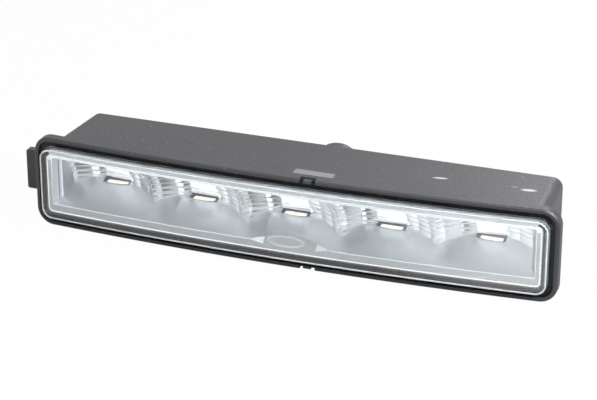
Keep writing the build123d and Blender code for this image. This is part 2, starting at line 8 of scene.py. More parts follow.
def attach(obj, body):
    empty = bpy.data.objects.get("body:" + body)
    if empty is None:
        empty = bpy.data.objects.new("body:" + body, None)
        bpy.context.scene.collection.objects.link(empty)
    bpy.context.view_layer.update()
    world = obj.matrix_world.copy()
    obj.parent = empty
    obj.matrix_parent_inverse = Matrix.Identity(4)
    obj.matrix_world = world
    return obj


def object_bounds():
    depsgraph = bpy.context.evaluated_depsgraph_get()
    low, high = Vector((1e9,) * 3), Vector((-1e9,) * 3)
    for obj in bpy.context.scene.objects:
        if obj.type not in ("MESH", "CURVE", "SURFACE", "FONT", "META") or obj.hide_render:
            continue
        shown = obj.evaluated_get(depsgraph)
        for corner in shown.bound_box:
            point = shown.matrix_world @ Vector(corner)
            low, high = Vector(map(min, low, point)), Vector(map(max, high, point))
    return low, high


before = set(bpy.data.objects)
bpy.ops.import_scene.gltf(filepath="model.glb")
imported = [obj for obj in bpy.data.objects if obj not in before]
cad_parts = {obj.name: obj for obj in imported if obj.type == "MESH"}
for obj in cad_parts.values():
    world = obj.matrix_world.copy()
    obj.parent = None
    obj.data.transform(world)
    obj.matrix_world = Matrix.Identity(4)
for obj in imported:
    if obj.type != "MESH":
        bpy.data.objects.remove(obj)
cad_low, cad_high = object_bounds()
scene = bpy.context.scene
scene.view_settings.view_transform = "Standard"

# Housing: the tub with its flange, lip, hook tab and bosses, which carries all the other pieces.
# It is one injection moulding in black ABS. The mould is spark-eroded all over, and only a small land behind
# the lip is polished, and its sheen is painted on as a paler grey.
MM = 0.001  # sizes are in millimetres, and Blender's unit is the metre
NOISE_LOW, NOISE_HIGH = 0.3, 0.7  # nearly all of a noise texture lies between these values


def linear(hex_colour):
    """An sRGB hex colour as linear RGBA."""
    values = [int(hex_colour[i:i + 2], 16) / 255 for i in (1, 3, 5)]
    return tuple(v / 12.92 if v < 0.04045 else ((v + 0.055) / 1.055) ** 2.4 for v in values) + (1.0,)


def new_material(name):
    """A material with nothing in it, and its node tree."""
    material = bpy.data.materials.new(name)
    material.use_nodes = True
    material.node_tree.nodes.clear()
    return material, material.node_tree


def add_node(tree, kind, inputs=None, **settings):
    """Adds a node, sets its properties, and fills or links its inputs, which go by name or number.

    Map Range takes its value at 0, the range it comes from at 1 and 2, and the range it goes to at 3 and 4.
    Mix takes numbers at 2 and 3 or colours at 6 and 7, and gives a number at 0 or a colour at 2.
    """
    node = tree.nodes.new(kind)
    for name, value in settings.items():
        setattr(node, name, value)
    for socket, value in (inputs or {}).items():
        if isinstance(value, bpy.types.NodeSocket):
            tree.links.new(value, node.inputs[socket])
        else:
            node.inputs[socket].default_value = value
    return node


def dress(name, material):
    """Gives a CAD node its material."""
    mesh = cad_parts[name].data
    mesh.materials.clear()
    mesh.materials.append(material)


def inside_box(tree, place, low, high, soft):
    """1 inside a box given in millimetres, fading out over soft millimetres."""
    centre = [(a + b) / 2 * MM for a, b in zip(low, high)]
    half = [(b - a) / 2 * MM for a, b in zip(low, high)]
    away = add_node(tree, "ShaderNodeVectorMath", {0: place, 1: centre}, operation="SUBTRACT")
    away = add_node(tree, "ShaderNodeVectorMath", {0: away.outputs[0]}, operation="ABSOLUTE")
    away = add_node(tree, "ShaderNodeVectorMath", {0: away.outputs[0], 1: half}, operation="SUBTRACT")
    xyz = add_node(tree, "ShaderNodeSeparateXYZ", {0: away.outputs[0]})
    most = add_node(tree, "ShaderNodeMath", {0: xyz.outputs[0], 1: xyz.outputs[1]}, operation="MAXIMUM")
    most = add_node(tree, "ShaderNodeMath", {0: most.outputs[0], 1: xyz.outputs[2]}, operation="MAXIMUM")
    mask = add_node(tree, "ShaderNodeMapRange", {0: most.outputs[0], 1: 0.0, 2: soft * MM, 3: 1.0, 4: 0.0})
    return mask.outputs[0]


ABS_LOW, ABS_HIGH, ABS_ROUGH = "#222224", "#29292b", (0.42, 0.56)
GRAIN, GRAIN_DEPTH, CLOUD = 0.9, 0.06, 25.0
DUST, SPECK_CORE, SPECK_EDGE, DUST_GREY = 3.2, 0.06, 0.09, "#5a5b5d"  # a speck's size is a share of the spacing
# The land's grey is a painted sheen: the polished land drawn paler, as it looks where it catches the light.
LAND_LOW, LAND_HIGH, LAND_EDGE, LAND_SHEEN_GREY = (0.4, -30.4, 13.5), (13.8, -26.9, 14.2), 0.15, "#58595a"
SCUFFS = (  # the middle of each, its half length and its half width
    ((46.1, -17.3, 0), 2.9, 0.8),
    ((75.2, -16.9, 0), 3.0, 1.15),
    ((70.2, -15.9, 0), 1.2, 0.25),
)
SCUFF_TURN, SCUFF_CORE, SCUFF_WEAR, SCUFF_GREY = math.radians(8), 0.55, 0.8, "#8d9299"


def moulded_abs():
    """Black ABS from a spark-eroded mould: matt, faintly cloudy, with dust, scuffs and a painted sheen, the
    polished land painted a paler grey.

    The real grain is about a tenth of a millimetre. It is drawn coarser, so that it shows.
    """
    material, tree = new_material("moulded_black_abs")
    place = add_node(tree, "ShaderNodeTexCoord").outputs["Object"]
    grain = add_node(tree, "ShaderNodeTexNoise", {"Vector": place, "Scale": 1 / (GRAIN * MM), "Detail": 3.0})
    cloud = add_node(tree, "ShaderNodeTexNoise", {"Vector": place, "Scale": 1 / (CLOUD * MM), "Detail": 2.0})
    dust = add_node(tree, "ShaderNodeTexVoronoi", {"Vector": place, "Scale": 1 / (DUST * MM)})
    speck = add_node(
        tree, "ShaderNodeMapRange",
        {0: dust.outputs["Distance"], 1: SPECK_CORE, 2: SPECK_EDGE, 3: 1.0, 4: 0.0},
    )
    land = inside_box(tree, place, LAND_LOW, LAND_HIGH, LAND_EDGE)
    scuff = 0.0
    for middle, along, across in SCUFFS:
        away = add_node(
            tree, "ShaderNodeVectorMath", {0: place, 1: [c * MM for c in middle]}, operation="SUBTRACT",
        )
        away = add_node(
            tree, "ShaderNodeVectorRotate", {0: away.outputs[0], "Angle": SCUFF_TURN},
            rotation_type="Z_AXIS", invert=True,
        )
        shares = (1 / (along * MM), 1 / (across * MM), 0)
        away = add_node(tree, "ShaderNodeVectorMath", {0: away.outputs[0], 1: shares}, operation="MULTIPLY")
        away = add_node(tree, "ShaderNodeVectorMath", {0: away.outputs[0]}, operation="LENGTH")
        worn = add_node(
            tree, "ShaderNodeMapRange",
            {0: away.outputs["Value"], 1: SCUFF_CORE, 2: 1.0, 3: SCUFF_WEAR, 4: 0.0},
        )
        scuff = add_node(tree, "ShaderNodeMath", {0: scuff, 1: worn.outputs[0]}, operation="ADD").outputs[0]
    colour = add_node(
        tree, "ShaderNodeMix",
        {"Factor": cloud.outputs[0], 6: linear(ABS_LOW), 7: linear(ABS_HIGH)}, data_type="RGBA",
    )
    for mask, grey in ((speck.outputs[0], DUST_GREY), (land, LAND_SHEEN_GREY), (scuff, SCUFF_GREY)):
        colour = add_node(
            tree, "ShaderNodeMix", {"Factor": mask, 6: colour.outputs[2], 7: linear(grey)}, data_type="RGBA",
        )
    rough = add_node(
        tree, "ShaderNodeMapRange",
        {0: grain.outputs[0], 1: NOISE_LOW, 2: NOISE_HIGH, 3: ABS_ROUGH[0], 4: ABS_ROUGH[1]},
    )
    bump = add_node(
        tree, "ShaderNodeBump", {"Height": grain.outputs[0], "Strength": 0.5, "Distance": GRAIN_DEPTH * MM},
    )
    shader = add_node(
        tree, "ShaderNodeBsdfPrincipled",
        {
            "Base Color": colour.outputs[2], "Roughness": rough.outputs[0], "IOR": 1.54,
            "Specular IOR Level": 0.35, "Normal": bump.outputs[0],
        },
    )
    add_node(tree, "ShaderNodeOutputMaterial", {0: shader.outputs[0]})
    return material


dress("housing", moulded_abs())

# Heat sink: a length of aluminium extrusion with fins, bored for the board's screws.
# It stands on posts in the tub and takes the emitters' heat through the thermal pad.
ROUGH_SPREAD = 0.15
# The glow is painted light: these parts give off light of their own, though they are no lamp.
GLOW_FACING, GLOW_ASIDE = (0.5, 0.9), 0.15  # a glow is full on faces that look up, and this share on the rest


def plain_finish(name, hex_low, hex_high, roughness, metallic, spread, depth, glow=0.0, shine=0.5):
    """A finish with mottled colour, roughness and relief.

    Its patches are spread millimetres wide and depth millimetres deep. Both are coarser than a real surface's,
    so that they show. With glow, it gives off a painted glow where it faces upwards, though it is no lamp.
    """
    material, tree = new_material(name)
    coords = add_node(tree, "ShaderNodeTexCoord")
    mottle = add_node(
        tree, "ShaderNodeTexNoise",
        {"Vector": coords.outputs["Object"], "Scale": 1 / (spread * MM), "Detail": 4.0},
    )
    colour = add_node(
        tree, "ShaderNodeMix",
        {"Factor": mottle.outputs[0], 6: linear(hex_low), 7: linear(hex_high)}, data_type="RGBA",
    )
    rough = add_node(
        tree, "ShaderNodeMapRange",
        {
            0: mottle.outputs[0], 1: NOISE_LOW, 2: NOISE_HIGH,
            3: roughness * (1 - ROUGH_SPREAD), 4: roughness * (1 + ROUGH_SPREAD),
        },
    )
    bump = add_node(
        tree, "ShaderNodeBump", {"Height": mottle.outputs[0], "Strength": 0.4, "Distance": depth * MM},
    )
    inputs = {
        "Base Color": colour.outputs[2], "Roughness": rough.outputs[0], "Metallic": metallic,
        "Specular IOR Level": shine, "Normal": bump.outputs[0],
    }
    if glow:
        facing = add_node(tree, "ShaderNodeSeparateXYZ", {0: coords.outputs["Normal"]})
        lit = add_node(
            tree, "ShaderNodeMapRange",
            {0: facing.outputs[2], 1: GLOW_FACING[0], 2: GLOW_FACING[1], 3: GLOW_ASIDE * glow, 4: glow},
        )
        inputs |= {"Emission Color": colour.outputs[2], "Emission Strength": lit.outputs[0]}
    shader = add_node(tree, "ShaderNodeBsdfPrincipled", inputs)
    add_node(tree, "ShaderNodeOutputMaterial", {0: shader.outputs[0]})
    return material


# Aluminium as it leaves the die: a soft, slightly patchy gleam.
dress("heat_sink", plain_finish(
    "extruded_aluminium", "#b9bbbd", "#c9cbcd", roughness=0.38, metallic=1.0, spread=1.5, depth=0.02,
))

# Thermal pad: a soft sheet of filled silicone, cut to the shape of the board.
# The screws press it between the board and the heat sink.
# Filled silicone is dull and a little uneven.
dress("thermal_pad", plain_finish(
    "silicone_gap_pad", "#5d6268", "#6b7077", roughness=0.8, metallic=0.0, spread=2.0, depth=0.03,
))

# Circuit board: a strip of glass-epoxy laminate that follows the row of emitters.
# It is routed to shape and drilled for the reflector's pegs and for its own screws.
# Its green solder mask is glossy and slightly cloudy.
dress("circuit_board", plain_finish(
    "green_solder_mask", "#123f22", "#1a5430", roughness=0.3, metallic=0.0, spread=3.0, depth=0.01,
))

# Board screws: pan-head screws in steel, which go through board, pad and sink into the housing's posts.
# They are cold-headed and zinc plated.
# The plating shines with a greyish yellow tinge.
dress("board_screws", plain_finish(
    "zinc_plated_steel", "#8f8f8a", "#a6a6a0", roughness=0.32, metallic=1.0, spread=0.8, depth=0.01,
))

# Driver chip, power transistor and protection diode: silicon in black epoxy, moulded round its leads.
# They are soldered to the board behind the reflector.
# Moulded epoxy is a dull black with a fine grain.
epoxy = plain_finish(
    "moulded_epoxy", "#1c1c1e", "#252527", roughness=0.55, metallic=0.0, spread=0.6, depth=0.01,
)
for name in ("driver_chip", "power_transistor", "protection_diode"):
    dress(name, epoxy)

# Inductor: a coil inside a square ferrite core with round shoulders, pressed and fired.
# It is soldered to the board by two pads below it.
# Fired ferrite is a dull dark grey.
dress("inductor", plain_finish(
    "pressed_ferrite", "#3a3a3b", "#474748", roughness=0.6, metallic=0.0, spread=0.7, depth=0.02,
))

# Smoothing capacitor: a drawn aluminium can, crimped round its seal, on a square foot.
# It is soldered to the board by the two leads under the foot.
# Drawn aluminium is brighter and smoother than extruded.
dress("smoothing_capacitor", plain_finish(
    "drawn_can_aluminium", "#b4b6b8", "#c6c8ca", roughness=0.28, metallic=1.0, spread=2.0, depth=0.01,
))

# Sense resistors: chips of alumina with a printed film, soldered at both ends beside the driver chip.
# A black glaze is fired over the film, and it is smooth and shiny.
dress("sense_resistors", plain_finish(
    "resistor_glaze", "#1d1e20", "#2a2b2d", roughness=0.35, metallic=0.0, spread=0.5, depth=0.01,
))

# Ceramic capacitors: chips of stacked ceramic layers, fired as one and soldered at both ends.
# The fired ceramic is a half-matt tan.
dress("ceramic_capacitors", plain_finish(
    "fired_ceramic", "#8f7853", "#a18a63", roughness=0.5, metallic=0.0, spread=0.5, depth=0.01,
))

# Cable terminal: a two-way block, moulded in grey nylon round its metal clamps and soldered to the board.
# The moulded nylon is half matt and a little cloudy.
dress("cable_terminal", plain_finish(
    "grey_nylon", "#8d8d88", "#9a9a95", roughness=0.5, metallic=0.0, spread=1.0, depth=0.02,
))

# Emitters: packages moulded in white ceramic-filled plastic, each with a chip under phosphor in its round cup.
# They are soldered to the board and face up through the floor. Their upper faces carry a faint painted glow,
# painted light that stands for the light the bowls gather there.
LED_COUNT, PAINTED_GLOW = 5, 0.9
# Filled white plastic is smooth and nearly pure white. The phosphor is a dull yellow.
package_white = plain_finish(
    "white_package_plastic", "#eeeeea", "#f7f7f3", roughness=0.28, metallic=0.0, spread=0.8, depth=0.01,
    glow=PAINTED_GLOW,
)
phosphor = plain_finish(
    "yellow_phosphor", "#ecd27a", "#f2dd92", roughness=0.45, metallic=0.0, spread=0.25, depth=0.02,
    glow=PAINTED_GLOW,
)
for number in range(1, LED_COUNT + 1):
    dress(f"led_package_{number}", package_white)
    dress(f"led_chip_{number}", phosphor)

# Fillings: clear silicone with a little yellow phosphor, which protects the chips.
# It is dosed into each emitter's cup as a liquid and cures to a shallow dome.
LED_PITCH = 32.6
ROW_MID_Y, ROW_RADIUS = -26.1, 592.2
BOWLS = [(n - (LED_COUNT - 1) / 2) * LED_PITCH for n in range(LED_COUNT)]
FILL_RADIUS, FILL_FOOT, FILL_EDGE, FILL_TOP = 1.62, -2.58, -2.42, -2.28
FILL_SHARES, FILL_SIDES = (1.0, 0.75, 0.5, 0.25), 24
FILL_BLUR, FILL_UNEVEN, FILL_CORE, FILL_REACH = 0.6, 0.8, 0.35, 1.3
FILL_MILKY, FILL_YELLOW = "#f6f4ea", "#f3e2a0"


def row_y(x):
    """Y of the emitters' arc."""
    return ROW_MID_Y + ROW_RADIUS - math.sqrt(ROW_RADIUS**2 - x**2)


def phosphor_silicone():
    """Silicone with phosphor: glossy, yellow over the chip and milky towards the cup's wall, with a painted
    glow.
    """
    material, tree = new_material("phosphor_silicone")
    place = add_node(tree, "ShaderNodeTexCoord").outputs["Object"]
    blur = add_node(tree, "ShaderNodeTexNoise", {"Vector": place, "Scale": 1 / (FILL_BLUR * MM), "Detail": 2.0})
    yellow = 0.0
    for x in BOWLS:
        top = [c * MM for c in (x, row_y(x), FILL_TOP)]
        away = add_node(tree, "ShaderNodeVectorMath", {0: place, 1: top}, operation="DISTANCE")
        near = add_node(
            tree, "ShaderNodeMapRange",
            {0: away.outputs["Value"], 1: FILL_CORE * MM, 2: FILL_REACH * MM, 3: 1.0, 4: 0.0},
        )
        yellow = add_node(tree, "ShaderNodeMath", {0: yellow, 1: near.outputs[0]}, operation="ADD").outputs[0]
    uneven = add_node(
        tree, "ShaderNodeMapRange", {0: blur.outputs[0], 1: NOISE_LOW, 2: NOISE_HIGH, 3: FILL_UNEVEN, 4: 1.0},
    )
    yellow = add_node(tree, "ShaderNodeMath", {0: yellow, 1: uneven.outputs[0]}, operation="MULTIPLY")
    colour = add_node(
        tree, "ShaderNodeMix",
        {"Factor": yellow.outputs[0], 6: linear(FILL_MILKY), 7: linear(FILL_YELLOW)}, data_type="RGBA",
    )
    shader = add_node(
        tree, "ShaderNodeBsdfPrincipled",
        {
            "Base Color": colour.outputs[2], "Roughness": 0.2, "IOR": 1.41,
            "Emission Color": colour.outputs[2], "Emission Strength": PAINTED_GLOW,
        },
    )
    add_node(tree, "ShaderNodeOutputMaterial", {0: shader.outputs[0]})
    return material


def join_rings(bm, rings, smooth, loop=False):
    """Skins a row of rings of points, joined to a loop or closed at both ends."""
    for ring, following in zip(rings, rings[1:] + (rings[:1] if loop else [])):
        for k in range(len(ring)):
            bm.faces.new((ring[k - 1], ring[k], following[k], following[k - 1])).smooth = smooth
    if not loop:
        for ring in (rings[0], rings[-1]):
            bm.faces.new(ring).smooth = smooth


def add_piece(name, bm, material):
    """Makes a mesh piece that is fixed to the lamp."""
    bmesh.ops.recalc_face_normals(bm, faces=bm.faces)
    mesh = bpy.data.meshes.new(name)
    bm.to_mesh(mesh)
    bm.free()
    mesh.materials.append(material)
    piece = bpy.data.objects.new(name, mesh)
    scene.collection.objects.link(piece)
    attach(piece, "root")


filled = phosphor_silicone()
for number, x in enumerate(BOWLS, start=1):
    bm = bmesh.new()
    levels = [(1.0, FILL_FOOT)]
    levels += [(share, FILL_EDGE + (FILL_TOP - FILL_EDGE) * (1 - share**2)) for share in FILL_SHARES]
    rings = []
    for share, z in levels:
        ring = []
        for k in range(FILL_SIDES):
            turn, reach = math.tau * k / FILL_SIDES, FILL_RADIUS * share
            point = (x + reach * math.cos(turn), row_y(x) + reach * math.sin(turn), z)
            ring.append(bm.verts.new([c * MM for c in point]))
        rings.append(ring)
    join_rings(bm, rings, smooth=True)
    add_piece(f"led_filling_{number}", bm, filled)

# Reflector: one polycarbonate moulding with a fluted bowl for each emitter, set on the board by its pegs.
# It is coated with aluminium in a vacuum chamber. The front rim is masked off while the coating goes on, so it
# stays bare. The sides of the emitters' openings are painted a dark non-metal grey, as painted shade.
FACE_MID_Y, FACE_RADIUS = -38.5, 1040.4
FLOOR_EDGE_Z, FLOOR_SLOPE = -7.4, 0.408
RIM_DEPTH, RIM_TOP, RIM_EDGE = 3.3, 8.5, 0.1
PLAQUE_X, PLAQUE_HALF = 2.5, 9.0
CUT_DEPTH = 0.1
FACING_UP, FACING_FORWARD, STEEP, UPRIGHT = (0.8, 0.88), (-0.5, -0.65), 0.5, 0.1  # parts of a face's normal
STREAK, STREAK_STRETCH = 2.2, (1.0, 0.12, 0.12)
ETCH, ETCH_DEPTH = 0.5, 0.012
# The last colour is painted shade: the dark grey given to the sides of the emitters' openings.
WALL_COAT, FLOOR_COAT, RIM_BARE, CUT_SHADE = "#dce1e6", "#eaedf0", "#a9acae", "#2b2c2e"
WALL_ROUGH, FLOOR_ROUGH, RIM_ROUGH = 0.3, (0.3, 0.4), 0.45


def face_y(x):
    """Y of the lamp's bowed face."""
    return FACE_MID_Y + FACE_RADIUS - math.sqrt(FACE_RADIUS**2 - x**2)


def vacuum_aluminium():
    """Vacuum-coated aluminium: bright walls, an etched floor with a satin shine, bare plastic on the rim, and
    painted shade, a dark non-metal grey, on the sides of the emitters' openings.

    The floor's streaks and its etching are drawn coarser than they are, so that they show.
    """
    material, tree = new_material("vacuum_metallised_aluminium")
    coords = add_node(tree, "ShaderNodeTexCoord")
    place = coords.outputs["Object"]
    at = add_node(tree, "ShaderNodeSeparateXYZ", {0: place})
    facing = add_node(tree, "ShaderNodeSeparateXYZ", {0: coords.outputs["Normal"]})
    axis = (0, (FACE_MID_Y + FACE_RADIUS) * MM, 0)
    away = add_node(tree, "ShaderNodeVectorMath", {0: place, 1: axis}, operation="SUBTRACT")
    away = add_node(tree, "ShaderNodeVectorMath", {0: away.outputs[0], 1: (1, 1, 0)}, operation="MULTIPLY")
    away = add_node(tree, "ShaderNodeVectorMath", {0: away.outputs[0]}, operation="LENGTH").outputs["Value"]
    up = add_node(tree, "ShaderNodeMapRange", {0: facing.outputs[2], 1: FACING_UP[0], 2: FACING_UP[1]})
    floor = up.outputs[0]

    # The rim: what faces forward near the face, below its top band, and beside the plaque only the steep faces.
    behind = (FACE_RADIUS - RIM_DEPTH) * MM
    near = add_node(tree, "ShaderNodeMapRange", {0: away, 1: behind, 2: behind + RIM_EDGE * MM})
    forward = add_node(
        tree, "ShaderNodeMapRange", {0: facing.outputs[1], 1: FACING_FORWARD[0], 2: FACING_FORWARD[1]},
    )
    low = add_node(tree, "ShaderNodeMath", {0: at.outputs[2], 1: RIM_TOP * MM}, operation="LESS_THAN")
    plaque = add_node(
        tree, "ShaderNodeMath", {0: at.outputs[0], 1: PLAQUE_X * MM, 2: PLAQUE_HALF * MM}, operation="COMPARE",
    )
    steep = add_node(tree, "ShaderNodeMath", {0: facing.outputs[2], 1: STEEP}, operation="LESS_THAN")
    masked = add_node(tree, "ShaderNodeMath", {0: plaque.outputs[0], 1: steep.outputs[0]}, operation="MAXIMUM")
    rim = 1.0
    for mask in (near, forward, low, masked):
        rim = add_node(tree, "ShaderNodeMath", {0: rim, 1: mask.outputs[0]}, operation="MULTIPLY").outputs[0]

    # The openings' sides: upright faces under the floor, behind the rim, painted dark as shade.
    floor_level = add_node(
        tree, "ShaderNodeMath",
        {0: away, 1: -FLOOR_SLOPE, 2: (FLOOR_EDGE_Z + FLOOR_SLOPE * FACE_RADIUS - CUT_DEPTH) * MM},
        operation="MULTIPLY_ADD",
    )
    under = add_node(
        tree, "ShaderNodeMath", {0: at.outputs[2], 1: floor_level.outputs[0]}, operation="LESS_THAN",
    )
    upright = add_node(tree, "ShaderNodeMath", {0: facing.outputs[2], 1: 0.0, 2: UPRIGHT}, operation="COMPARE")
    inner = add_node(tree, "ShaderNodeMath", {0: away, 1: behind}, operation="LESS_THAN")
    cut = 1.0
    for mask in (under, upright, inner):
        cut = add_node(tree, "ShaderNodeMath", {0: cut, 1: mask.outputs[0]}, operation="MULTIPLY").outputs[0]

    stretched = add_node(tree, "ShaderNodeMapping", {"Vector": place, "Scale": STREAK_STRETCH})
    streaks = add_node(
        tree, "ShaderNodeTexNoise", {"Vector": stretched.outputs[0], "Scale": 1 / (STREAK * MM), "Detail": 3.0},
    )
    etching = add_node(tree, "ShaderNodeTexNoise", {"Vector": place, "Scale": 1 / (ETCH * MM), "Detail": 2.0})
    satin = add_node(
        tree, "ShaderNodeMapRange",
        {0: streaks.outputs[0], 1: NOISE_LOW, 2: NOISE_HIGH, 3: FLOOR_ROUGH[0], 4: FLOOR_ROUGH[1]},
    )
    rough = add_node(tree, "ShaderNodeMix", {"Factor": floor, 2: WALL_ROUGH, 3: satin.outputs[0]})
    rough = add_node(tree, "ShaderNodeMix", {"Factor": rim, 2: rough.outputs[0], 3: RIM_ROUGH})
    bump = add_node(
        tree, "ShaderNodeBump", {"Height": etching.outputs[0], "Strength": floor, "Distance": ETCH_DEPTH * MM},
    )
    colour = add_node(
        tree, "ShaderNodeMix",
        {"Factor": floor, 6: linear(WALL_COAT), 7: linear(FLOOR_COAT)}, data_type="RGBA",
    )
    # The rim takes its bare grey, and the openings' sides take a painted shade.
    for mask, bare_and_shade in ((rim, RIM_BARE), (cut, CUT_SHADE)):
        colour = add_node(
            tree, "ShaderNodeMix", {"Factor": mask, 6: colour.outputs[2], 7: linear(bare_and_shade)}, data_type="RGBA",
        )
    # The rim is bare plastic, and the openings' sides are painted as a dark non-metal for shade.
    plastic = add_node(tree, "ShaderNodeMath", {0: rim, 1: cut}, operation="MAXIMUM")
    metal = add_node(tree, "ShaderNodeMath", {0: 1.0, 1: plastic.outputs[0]}, operation="SUBTRACT")
    shader = add_node(
        tree, "ShaderNodeBsdfPrincipled",
        {
            "Base Color": colour.outputs[2], "Roughness": rough.outputs[0], "Metallic": metal.outputs[0],
            "Normal": bump.outputs[0],
        },
    )
    add_node(tree, "ShaderNodeOutputMaterial", {0: shader.outputs[0]})
    return material


coated = vacuum_aluminium()
dress("reflector", coated)

# Facets: the pillow-shaped mirrors of the bowls, in upright flutes of six rows, part of the same moulding.
# Each pillow is cut and polished in the mould, with a bulge that spreads the light of its emitter.
LED_LEVEL = -2.3
BOWL_BACK, BOWL_FOCAL_PLAN, BOWL_FOCAL_SIDE = 2.5, 9.5, 6.0
MIDDLE_HALF = 4.9
FLUTE_JOINS = (-16.3, -13.9, -9.2, -MIDDLE_HALF, MIDDLE_HALF, 9.2, 13.9, 16.3)
ROW_LEVELS = (-1.1, 1.04, 3.18, 5.32, 7.46, 9.6)
SLOT_TOP, FLOOR_BITE = -0.98, 0.3
FLUTE_BULGE, BESIDE_BULGE, PILLOW_BULGE, CENTRE_BULGE = 0.16, 0.36, 0.13, 0.03
SKIN, ROOT = 0.2, 0.6
END_WALL_X, END_WALL_Y, END_WALL_LEAN = 81.3, -31.6, 0.08
ACROSS, UP = 6, 6
POLISH_CLOUD, POLISH_ROUGH = 1.6, (0.04, 0.08)


def floor_z(x, y):
    """Height of the sloped floor, which rises from the bowed face."""
    return FLOOR_EDGE_Z + FLOOR_SLOPE * (y - face_y(x))


def bowl_corner(middle, e):
    """Corner of the fluted wall at e from the middle of a bowl."""
    x = middle + e
    return x, row_y(x) + BOWL_BACK - e**2 / (4 * BOWL_FOCAL_PLAN)


def flute_point(middle, left, right, u):
    """X and Y at u across a flute, which bulges out of its chord, and more so beside the bowl's middle."""
    a, b = bowl_corner(middle, left), bowl_corner(middle, right)
    most = BESIDE_BULGE if MIDDLE_HALF in (left, -right) else FLUTE_BULGE
    return a[0] + (b[0] - a[0]) * u, a[1] + (b[1] - a[1]) * u - most * (1 - (2 * u - 1) ** 2)


def lean(z):
    """How far the wall has come forward at a height."""
    return max(z - LED_LEVEL, 0) ** 2 / (4 * BOWL_FOCAL_SIDE)


def pillow_column(bm, middle, left, right):
    """One upright flute: a closed strip with a pillow for each row, rooted in the wall behind it.

    The middle flute begins above the emitter's opening, and the others begin at the floor.
    """
    central = left < 0 < right
    across = 2 * ACROSS if central else ACROSS
    bulge = CENTRE_BULGE if central else PILLOW_BULGE
    levels = (SLOT_TOP,) + ROW_LEVELS[1:] if central else (None,) + ROW_LEVELS
    front, back, sharp = [], [], []
    for row, (low, high) in enumerate(zip(levels, levels[1:])):
        sharp.append(len(front))
        for step in range(UP + 1 if row == len(levels) - 2 else UP):
            v = step / UP
            pillow = bulge * (1 - (2 * v - 1) ** 2)
            front_line, back_line = [], []
            for i in range(across + 1):
                x, y = flute_point(middle, left, right, i / across)
                foot = floor_z(x, y) - FLOOR_BITE if low is None else low
                z = foot + (high - foot) * v
                y -= lean(high)
                front_line.append(bm.verts.new([c * MM for c in (x, y - SKIN - pillow, z)]))
                back_line.append(bm.verts.new([c * MM for c in (x, y + ROOT, z)]))
            front.append(front_line)
            back.append(back_line)
    sharp.append(len(front) - 1)
    for j in range(len(front) - 1):
        for i in range(across):
            bm.faces.new((front[j][i], front[j][i + 1], front[j + 1][i + 1], front[j + 1][i])).smooth = True
            bm.faces.new((back[j][i], back[j + 1][i], back[j + 1][i + 1], back[j][i + 1]))
        for i in (0, across):
            bm.faces.new((front[j][i], front[j + 1][i], back[j + 1][i], back[j][i]))
            bm.edges.get((front[j][i], front[j + 1][i])).smooth = False
    for i in range(across):
        for j in (0, len(front) - 1):
            bm.faces.new((front[j][i], back[j][i], back[j][i + 1], front[j][i + 1]))
        for j in sharp:
            bm.edges.get((front[j][i], front[j][i + 1])).smooth = False


def trim_ends(bm):
    """Cuts a mesh off at the two leaning end walls and closes the cuts."""
    for side in (-1, 1):
        trimmed = bmesh.ops.bisect_plane(
            bm, geom=bm.verts[:] + bm.edges[:] + bm.faces[:], dist=1e-7, clear_outer=True,
            plane_co=(side * END_WALL_X * MM, END_WALL_Y * MM, 0), plane_no=(side, END_WALL_LEAN, 0),
        )
        edges = [e for e in trimmed["geom_cut"] if isinstance(e, bmesh.types.BMEdge)]
        bmesh.ops.edgenet_fill(bm, edges=edges)


def polished_aluminium():
    """The same coating over polished plastic: nearly a mirror, clouded a little by the mould's polishing."""
    material, tree = new_material("polished_vacuum_aluminium")
    place = add_node(tree, "ShaderNodeTexCoord").outputs["Object"]
    cloud = add_node(
        tree, "ShaderNodeTexNoise", {"Vector": place, "Scale": 1 / (POLISH_CLOUD * MM), "Detail": 2.0},
    )
    rough = add_node(
        tree, "ShaderNodeMapRange",
        {0: cloud.outputs[0], 1: NOISE_LOW, 2: NOISE_HIGH, 3: POLISH_ROUGH[0], 4: POLISH_ROUGH[1]},
    )
    shader = add_node(
        tree, "ShaderNodeBsdfPrincipled",
        {"Base Color": linear("#eceff2"), "Roughness": rough.outputs[0], "Metallic": 1.0},
    )
    add_node(tree, "ShaderNodeOutputMaterial", {0: shader.outputs[0]})
    return material


polished = polished_aluminium()
bm = bmesh.new()
for middle in BOWLS:
    for left, right in zip(FLUTE_JOINS, FLUTE_JOINS[1:]):
        pillow_column(bm, middle, left, right)
trim_ends(bm)
add_piece("bowl_facets", bm, polished)

# Facet joins: the fine edges between the pillows, part of the same coated moulding.
# The mould's cutter leaves them a little rough, and they are drawn wider than they are, so that they show.
JOIN_RADIUS = 0.1
LEVEL_CORNERS = ((0, -1, 1), (0, 1, 1), (0, 1, -1), (0, -1, -1))
UPRIGHT_CORNERS = ((-1, -1, 0), (1, -1, 0), (1, 1, 0), (-1, 1, 0))
# Aluminium over fine cutter marks scatters light every way and shows as pale lines between the mirrors.
scattering = plain_finish(
    "cutter_marked_aluminium", "#eef0f2", "#f6f7f8", roughness=0.55, metallic=1.0, spread=0.8, depth=0.01,
)


def join_line(bm, points, corners):
    """A thin square bead through points given in millimetres."""
    rings = []
    for point in points:
        places = [[(c + JOIN_RADIUS * o) * MM for c, o in zip(point, corner)] for corner in corners]
        rings.append([bm.verts.new(place) for place in places])
    join_rings(bm, rings, smooth=False)


